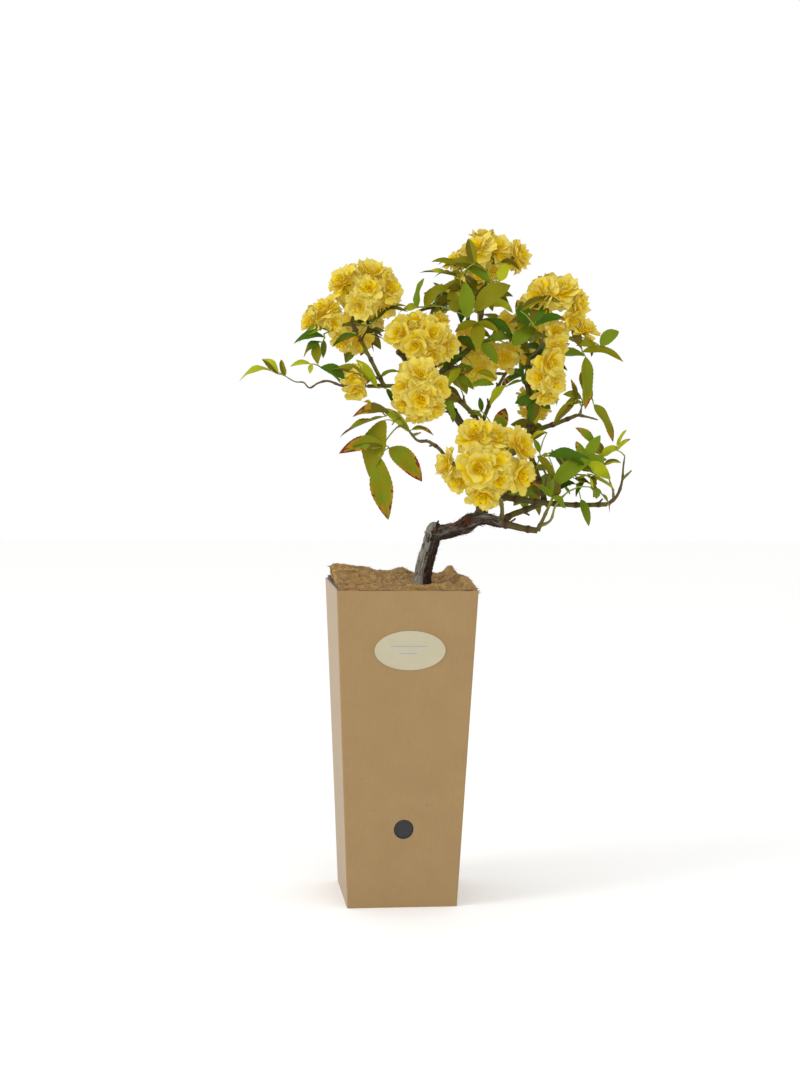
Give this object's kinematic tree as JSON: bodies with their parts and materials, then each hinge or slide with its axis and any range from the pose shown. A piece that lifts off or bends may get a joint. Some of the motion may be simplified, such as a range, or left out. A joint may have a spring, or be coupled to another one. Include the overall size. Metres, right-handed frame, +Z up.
{
  "type": "rose bush",
  "caption": "Small climbing rose with a bent old trunk, boughs, leafy shoots and clusters of double blooms, in a tall tapered square pot with a cardboard sleeve.",
  "frame": {"origin": "middle of the pot sleeve's flat underside, on the surface it stands on", "axes": "+Z up along the pot, -Y out of the sleeve face with the round hole and the label, +X to that face's right, towards which the crown leans"},
  "size_m": [0.331, 0.1914, 0.5715],
  "materials": {
    "cardboard": "plain brown kraft board, matt, faint fibre flecks",
    "black_plastic": "thin matt black",
    "potting_mix": "dark crumbly potting mix",
    "fibre_mat": "felted brown fibre, fuzzy",
    "label_paper": "cream satin sticker, blank",
    "old_bark": "grey-brown shredding bark",
    "young_bark": "olive to brown smooth bark",
    "foliage": "satin green leaves, soft yellow petals"
  },
  "bodies": {
    "root": {"sleeve": "cardboard", "inner_pot": "black_plastic", "root_ball": "potting_mix", "fibre_mat": "fibre_mat", "label": "label_paper", "trunk": "old_bark", "bough_low_right": "young_bark", "bough_right": "young_bark", "bough_right_upright": "young_bark", "bough_right_side": "young_bark", "bough_main_left": "young_bark", "bough_level_right": "young_bark", "bough_low_left": "young_bark", "bough_left_rising": "young_bark", "bough_top": "young_bark", "bough_centre": "young_bark", "bough_front_low": "young_bark", "bough_back_left": "young_bark", "bough_back_right": "young_bark", "bough_back_top": "young_bark", "foliage_far_left": "foliage", "foliage_upper_left": "foliage", "foliage_drooping_left": "foliage", "foliage_front": "foliage", "foliage_middle_left": "foliage", "foliage_top": "foliage", "foliage_centre": "foliage", "foliage_low_front": "foliage", "foliage_right_top": "foliage", "foliage_right_column": "foliage", "foliage_right_behind": "foliage", "foliage_right_side": "foliage", "foliage_right_low": "foliage", "foliage_right_inner": "foliage", "foliage_right_tip": "foliage", "foliage_back_left": "foliage", "foliage_back_right": "foliage", "foliage_back_top": "foliage", "foliage_back_upper_left": "foliage", "foliage_back_low": "foliage"}
  },
  "joints": []
}
